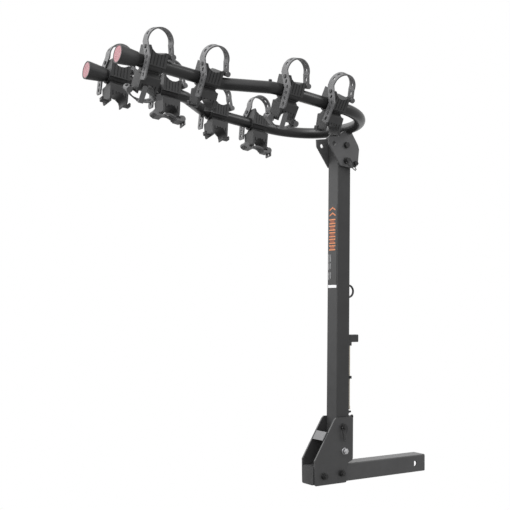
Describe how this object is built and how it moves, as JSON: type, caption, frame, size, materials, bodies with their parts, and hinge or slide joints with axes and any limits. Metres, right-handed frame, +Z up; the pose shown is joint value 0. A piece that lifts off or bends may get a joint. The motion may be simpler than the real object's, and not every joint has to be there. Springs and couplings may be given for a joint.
{
  "type": "hitch mounted bike rack",
  "caption": "Rack for a square receiver hitch: tilting mast, folding looped arm tube with padded saddles, rubber straps, swinging anti-sway cradles and pull-out lock pins.",
  "frame": {"origin": "centre of the hitch pin hole, on the axis of the square shank", "axes": "+X forward along the shank into the receiver, +Y to the left of the vehicle, +Z up along the mast"},
  "size_m": [1.0994, 0.4445, 1.1853],
  "materials": {
    "black_steel": "satin black powder coat, fine texture",
    "grey_steel": "light grey catch of light on the cross plate, satin",
    "dark_bolt": "black oxide",
    "zinc": "bright zinc plate",
    "wire": "dark spring wire",
    "nylon": "natural nylon",
    "rubber_black": "matt moulded rubber",
    "strap_rubber": "satin dark grey rubber",
    "panel": "thin vinyl panel with a plain orange pattern",
    "white_band": "white vinyl",
    "lock_plastic": "moulded plastic",
    "cable_vinyl": "clear vinyl sleeve over steel strand",
    "reflector": "moulded prismatic reflector"
  },
  "bodies": {
    "base": {"shank_tube": "black_steel", "shank_end_cap": "rubber_black", "base_plate_right": "black_steel", "base_plate_left": "black_steel", "base_cross_plate": "grey_steel", "shank_bolt_rear": "dark_bolt", "shank_bolt_front": "dark_bolt", "tilt_bolt": "zinc"},
    "mast": {"mast_tube": "black_steel", "mast_washers": "nylon", "mast_staple": "black_steel", "mast_panel": "panel", "mast_band": "white_band", "cable_lock": "lock_plastic", "lock_cylinder": "zinc", "lock_cable": "cable_vinyl", "mast_clips": "dark_bolt"},
    "arms": {"arm_tube": "black_steel", "top_plate_right": "black_steel", "top_plate_left": "black_steel", "fold_bolt": "dark_bolt", "stop_bolt": "dark_bolt", "grip_right": "rubber_black", "grip_left": "rubber_black", "reflector_right": "reflector", "reflector_left": "reflector", "arm_screws": "dark_bolt", "saddle_r1": "rubber_black", "strap_r1": "strap_rubber", "saddle_r2": "rubber_black", "strap_r2": "strap_rubber", "saddle_r3": "rubber_black", "strap_r3": "strap_rubber", "saddle_r4": "rubber_black", "strap_r4": "strap_rubber", "saddle_l1": "rubber_black", "strap_l1": "strap_rubber", "saddle_l2": "rubber_black", "strap_l2": "strap_rubber", "saddle_l3": "rubber_black", "strap_l3": "strap_rubber", "saddle_l4": "rubber_black", "strap_l4": "strap_rubber"},
    "base_lock_pin": {"base_pin": "dark_bolt"},
    "base_bail": {"base_pin_bail": "wire"},
    "top_lock_pin": {"top_pin": "dark_bolt"},
    "top_bail": {"top_pin_bail": "wire"},
    "cradle_r1": {"cradle_r1": "rubber_black", "lower_strap_r1": "strap_rubber"},
    "cradle_r2": {"cradle_r2": "rubber_black"},
    "cradle_r3": {"cradle_r3": "rubber_black", "lower_strap_r3": "strap_rubber"},
    "cradle_r4": {"cradle_r4": "rubber_black"},
    "cradle_l1": {"cradle_l1": "rubber_black"},
    "cradle_l2": {"cradle_l2": "rubber_black", "lower_strap_l2": "strap_rubber"},
    "cradle_l3": {"cradle_l3": "rubber_black"},
    "cradle_l4": {"cradle_l4": "rubber_black", "lower_strap_l4": "strap_rubber"}
  },
  "joints": [
    {"name": "mast_tilt", "type": "hinge", "parent": "base", "child": "mast", "pos_m": [-0.288, 0, 0.063], "axis": [0, -1, 0], "range_deg": [0, 25]},
    {"name": "arm_fold", "type": "hinge", "parent": "mast", "child": "arms", "pos_m": [-0.288, 0, 0.951], "axis": [0, -1, 0], "range_deg": [0, 90]},
    {"name": "base_pin_pull", "type": "slide", "parent": "base", "child": "base_lock_pin", "axis": [0, -1, 0], "range_m": [0, 0.08]},
    {"name": "base_bail_swing", "type": "hinge", "parent": "base_lock_pin", "child": "base_bail", "pos_m": [-0.292, -0.0385, 0.132], "axis": [-1, 0, 0], "range_deg": [0, 100]},
    {"name": "top_pin_pull", "type": "slide", "parent": "arms", "child": "top_lock_pin", "axis": [0, -1, 0], "range_m": [0, 0.08]},
    {"name": "top_bail_swing", "type": "hinge", "parent": "top_lock_pin", "child": "top_bail", "pos_m": [-0.288, -0.0385, 0.905], "axis": [-0.6428, 0, -0.766], "range_deg": [0, 100]},
    {"name": "cradle_r1_swing", "type": "hinge", "parent": "arms", "child": "cradle_r1", "pos_m": [-0.96299, -0.0916, 1.06721], "axis": [0.9956, 0, -0.0941], "range_deg": [-54, 2]},
    {"name": "cradle_r2_swing", "type": "hinge", "parent": "arms", "child": "cradle_r2", "pos_m": [-0.8047, -0.0916, 1.05224], "axis": [0.9956, 0, -0.0941], "range_deg": [-30, 18]},
    {"name": "cradle_r3_swing", "type": "hinge", "parent": "arms", "child": "cradle_r3", "pos_m": [-0.60459, -0.1736, 1.03333], "axis": [0.9956, 0, -0.0941], "range_deg": [-44, 36]},
    {"name": "cradle_r4_swing", "type": "hinge", "parent": "arms", "child": "cradle_r4", "pos_m": [-0.45725, -0.1736, 1.0194], "axis": [0.9956, 0, -0.0941], "range_deg": [-25, 55]},
    {"name": "cradle_l1_swing", "type": "hinge", "parent": "arms", "child": "cradle_l1", "pos_m": [-0.97195, 0.0916, 1.06805], "axis": [0.9956, 0, -0.0941], "range_deg": [-20, 50]},
    {"name": "cradle_l2_swing", "type": "hinge", "parent": "arms", "child": "cradle_l2", "pos_m": [-0.81963, 0.0916, 1.05365], "axis": [0.9956, 0, -0.0941], "range_deg": [-16, 52]},
    {"name": "cradle_l3_swing", "type": "hinge", "parent": "arms", "child": "cradle_l3", "pos_m": [-0.61295, 0.1736, 1.03412], "axis": [0.9956, 0, -0.0941], "range_deg": [-28, 52]},
    {"name": "cradle_l4_swing", "type": "hinge", "parent": "arms", "child": "cradle_l4", "pos_m": [-0.46919, 0.1736, 1.02053], "axis": [0.9956, 0, -0.0941], "range_deg": [-34, 46]}
  ]
}
